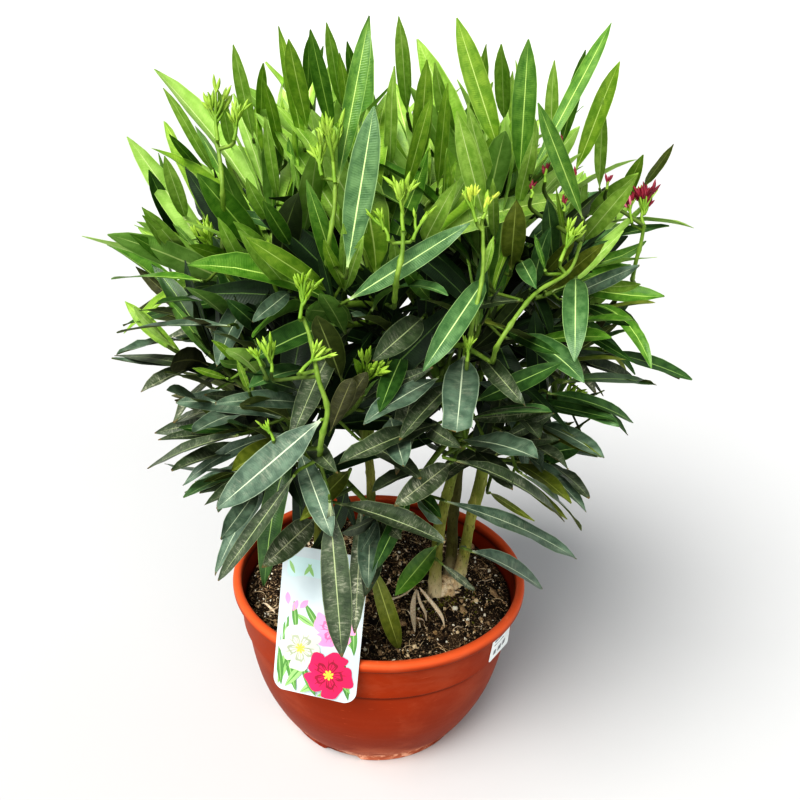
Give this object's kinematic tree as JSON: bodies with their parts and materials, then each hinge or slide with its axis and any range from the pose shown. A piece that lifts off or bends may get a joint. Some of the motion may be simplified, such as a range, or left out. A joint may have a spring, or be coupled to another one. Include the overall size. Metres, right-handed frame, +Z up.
{
  "type": "potted oleander",
  "caption": "Bushy evergreen shrub with several slender stems and long narrow leaves, growing in a round bowl-shaped plastic pot.",
  "frame": {"origin": "on the ground, under the centre of the pot and the middle of the crown", "axes": "+Z up along the pot's axis to the top of the crown; -Y is the front, where the plant label leans on the rim; +X to the right seen from the front"},
  "size_m": [0.44, 0.44, 0.565],
  "materials": {
    "pot_plastic": "satin",
    "compost": "matte",
    "bark": "matte",
    "green_bark": "satin",
    "leaf": "satin",
    "card": "satin",
    "sticker": "matte"
  },
  "bodies": {
    "root": {"bough_middle_1": "green_bark", "bough_middle_2": "green_bark", "bough_middle_3": "green_bark", "bough_middle_4": "green_bark", "bough_middle_5": "green_bark", "bough_middle_6": "green_bark", "bough_middle_7": "green_bark", "bough_top": "green_bark", "bough_upper_1": "green_bark", "bough_upper_2": "green_bark", "bough_upper_3": "green_bark", "bough_upper_4": "green_bark", "bough_upper_5": "green_bark", "bough_upper_6": "green_bark", "compost": "compost", "foliage_middle_1": "leaf", "foliage_middle_2": "leaf", "foliage_middle_3": "leaf", "foliage_middle_4": "leaf", "foliage_middle_5": "leaf", "foliage_middle_6": "leaf", "foliage_middle_7": "leaf", "foliage_skirt_1": "leaf", "foliage_skirt_2": "leaf", "foliage_skirt_3": "leaf", "foliage_skirt_4": "leaf", "foliage_skirt_5": "leaf", "foliage_skirt_6": "leaf", "foliage_skirt_7": "leaf", "foliage_top": "leaf", "foliage_upper_1": "leaf", "foliage_upper_2": "leaf", "foliage_upper_3": "leaf", "foliage_upper_4": "leaf", "foliage_upper_5": "leaf", "foliage_upper_6": "leaf", "label_tag": "card", "pot": "pot_plastic", "root_crown": "bark", "stem_a": "bark", "stem_b": "bark", "stem_c": "bark", "stem_d": "green_bark", "stem_e": "green_bark", "sticker": "sticker"}
  },
  "joints": []
}
